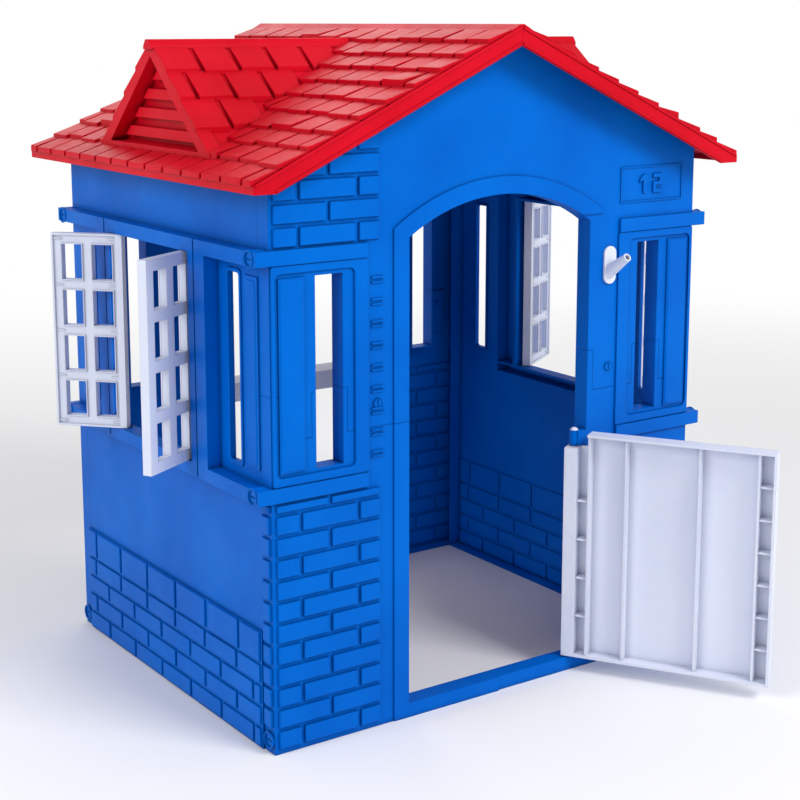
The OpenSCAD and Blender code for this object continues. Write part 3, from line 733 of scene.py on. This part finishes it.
def window_bay_frames():
    """Raised frames and fields beside the narrow windows of the end walls and the side bays."""
    shape = bmesh.new()
    for place in (front_face, back_face):
        for side in (-1, 1):
            def facing(u, v, w, place=place, side=side):
                return place(side * u, v, w)
            border(shape, facing, rounded(293, 489, 490, 873, 4), rounded(321, 504, 483, 859, 11), -1, 4.0)
            prism(shape, rounded(425, 512, 475, 850, 7), facing, 2, 4.6, rounded(428, 515, 472, 847, 6))
    piece_from("end_wall_bay_frames", shape, "house", "blue_plastic", 1.0)
    shape = bmesh.new()
    for sx in (-1, 1):
        for sy in (-1, 1):
            def recess(u, v, w, sx=sx, sy=sy):
                return house(sx * (HALF_W + w), sy * u, v)
            border(shape, recess, rounded(256, 506, 307, 858, 9), rounded(262, 513, 301, 851, 6), -1, 3.2)
            prism(shape, rounded(325, 516, 360, 846, 7), recess, 2, 4.6, rounded(328, 519, 357, 843, 6))
    piece_from("side_bay_frames", shape, "house", "blue_plastic", 1.0)


# ---------------------------------------------------------------- stage

def soft_panel(name, place, aim, size, power):
    lamp = bpy.data.lights.new(name, "AREA")
    lamp.shape = "RECTANGLE"
    lamp.size, lamp.size_y = size
    lamp.energy = power
    holder = bpy.data.objects.new(name, lamp)
    bpy.context.scene.collection.objects.link(holder)
    holder.location = place
    holder.rotation_euler = (Vector(aim) - Vector(place)).to_track_quat("-Z", "Y").to_euler()


SKY_LIGHT = 0.56
FLOOR_FADES = (2.2, 5.0)                         # the floor goes over into the backdrop between these


def studio():
    """Pale floor and backdrop, with three soft lamps."""
    bpy.context.scene.view_settings.view_transform = "Standard"
    world = bpy.data.worlds.new("pale_studio")
    bpy.context.scene.world = world
    world.use_nodes = True
    tree = world.node_tree
    sky = tree.nodes["Background"]
    sky.inputs["Color"].default_value = (1.0, 1.0, 1.0, 1.0)
    sky.inputs["Strength"].default_value = SKY_LIGHT
    backdrop = add_node(tree, "ShaderNodeBackground", {"Color": (1.0, 1.0, 1.0, 1.0), "Strength": 1.0})
    seen = add_node(tree, "ShaderNodeLightPath")
    either = add_node(tree, "ShaderNodeMixShader")
    tree.links.new(seen.outputs["Is Camera Ray"], either.inputs["Fac"])
    tree.links.new(sky.outputs["Background"], either.inputs[1])
    tree.links.new(backdrop.outputs["Background"], either.inputs[2])
    tree.links.new(either.outputs["Shader"], tree.nodes["World Output"].inputs["Surface"])
    middle = (0, HOUSE_Y, 0.6)
    soft_panel("key_panel", (1.3, -3.8, 3.9), middle, (2.4, 1.8), 170)
    soft_panel("side_panel", (-4.2, -0.2, 3.0), middle, (2.2, 1.8), 75)
    soft_panel("back_panel", (1.5, 4.6, 3.4), middle, (3.0, 2.0), 40)
    mesh = bpy.data.meshes.new("studio_floor")
    far = 14
    mesh.from_pydata([(-far, -far, 0), (far, -far, 0), (far, far, 0), (-far, far, 0)], [], [(0, 1, 2, 3)])
    floor = bpy.data.objects.new("studio_floor", mesh)
    bpy.context.scene.collection.objects.link(floor)
    material = bpy.data.materials.new("pale_floor")
    material.use_nodes = True
    tree = material.node_tree
    shader = tree.nodes["Principled BSDF"]
    shader.inputs["Base Color"].default_value = (0.9, 0.9, 0.91, 1.0)
    shader.inputs["Roughness"].default_value = 0.85
    pale = add_node(tree, "ShaderNodeEmission", {"Color": (1.0, 1.0, 1.0, 1.0), "Strength": 1.0})
    spot = add_node(tree, "ShaderNodeTexCoord")
    reach = add_node(tree, "ShaderNodeVectorMath", operation="LENGTH")
    fade = add_node(tree, "ShaderNodeMapRange", {"From Min": FLOOR_FADES[0], "From Max": FLOOR_FADES[1]})
    fade.interpolation_type = "SMOOTHSTEP"
    either = add_node(tree, "ShaderNodeMixShader")
    tree.links.new(spot.outputs["Object"], reach.inputs[0])
    tree.links.new(reach.outputs["Value"], fade.inputs["Value"])
    tree.links.new(fade.outputs["Result"], either.inputs["Fac"])
    tree.links.new(shader.outputs["BSDF"], either.inputs[1])
    tree.links.new(pale.outputs["Emission"], either.inputs[2])
    tree.links.new(either.outputs["Shader"], tree.nodes["Material Output"].inputs["Surface"])
    mesh.materials.append(material)


def camera():
    lens = bpy.data.cameras.new("camera")
    lens.sensor_width = 36
    lens.lens = 72.833
    lens.shift_y = -0.11
    holder = bpy.data.objects.new("camera", lens)
    bpy.context.scene.collection.objects.link(holder)
    holder.location = (-1.841, -2.339, 1.278)
    yaw, pitch = math.radians(34.859), math.radians(-10.190)
    holder.rotation_euler = (math.pi / 2 + pitch, 0, -yaw)
    bpy.context.scene.camera = holder


# ---------------------------------------------------------------- build

def build():
    camera()
    studio()
    slots = {part["node"]: part["material_slot"] for part in frame["record"]["subparts"]}
    for body, nodes in frame["record"]["behaviour"]["bodies"].items():
        for node in nodes:
            casting(node, body, slots[node])
    end_wall_bricks("front", front_face, front_inside)
    end_wall_bricks("back", back_face, back_inside)
    corner_bricks()
    plinth_bricks()
    plate_numerals()
    for side, name in ((-1, "left"), (1, "right")):
        roof_shingles(side, name)
        dormer_shingles(side, name)
    gable_trim()
    half_door_details()
    for name in SHUTTERS:
        shutter_webs(name, name.replace("shutter", "leaf"))
    lock_rings()
    window_bay_frames()


build()
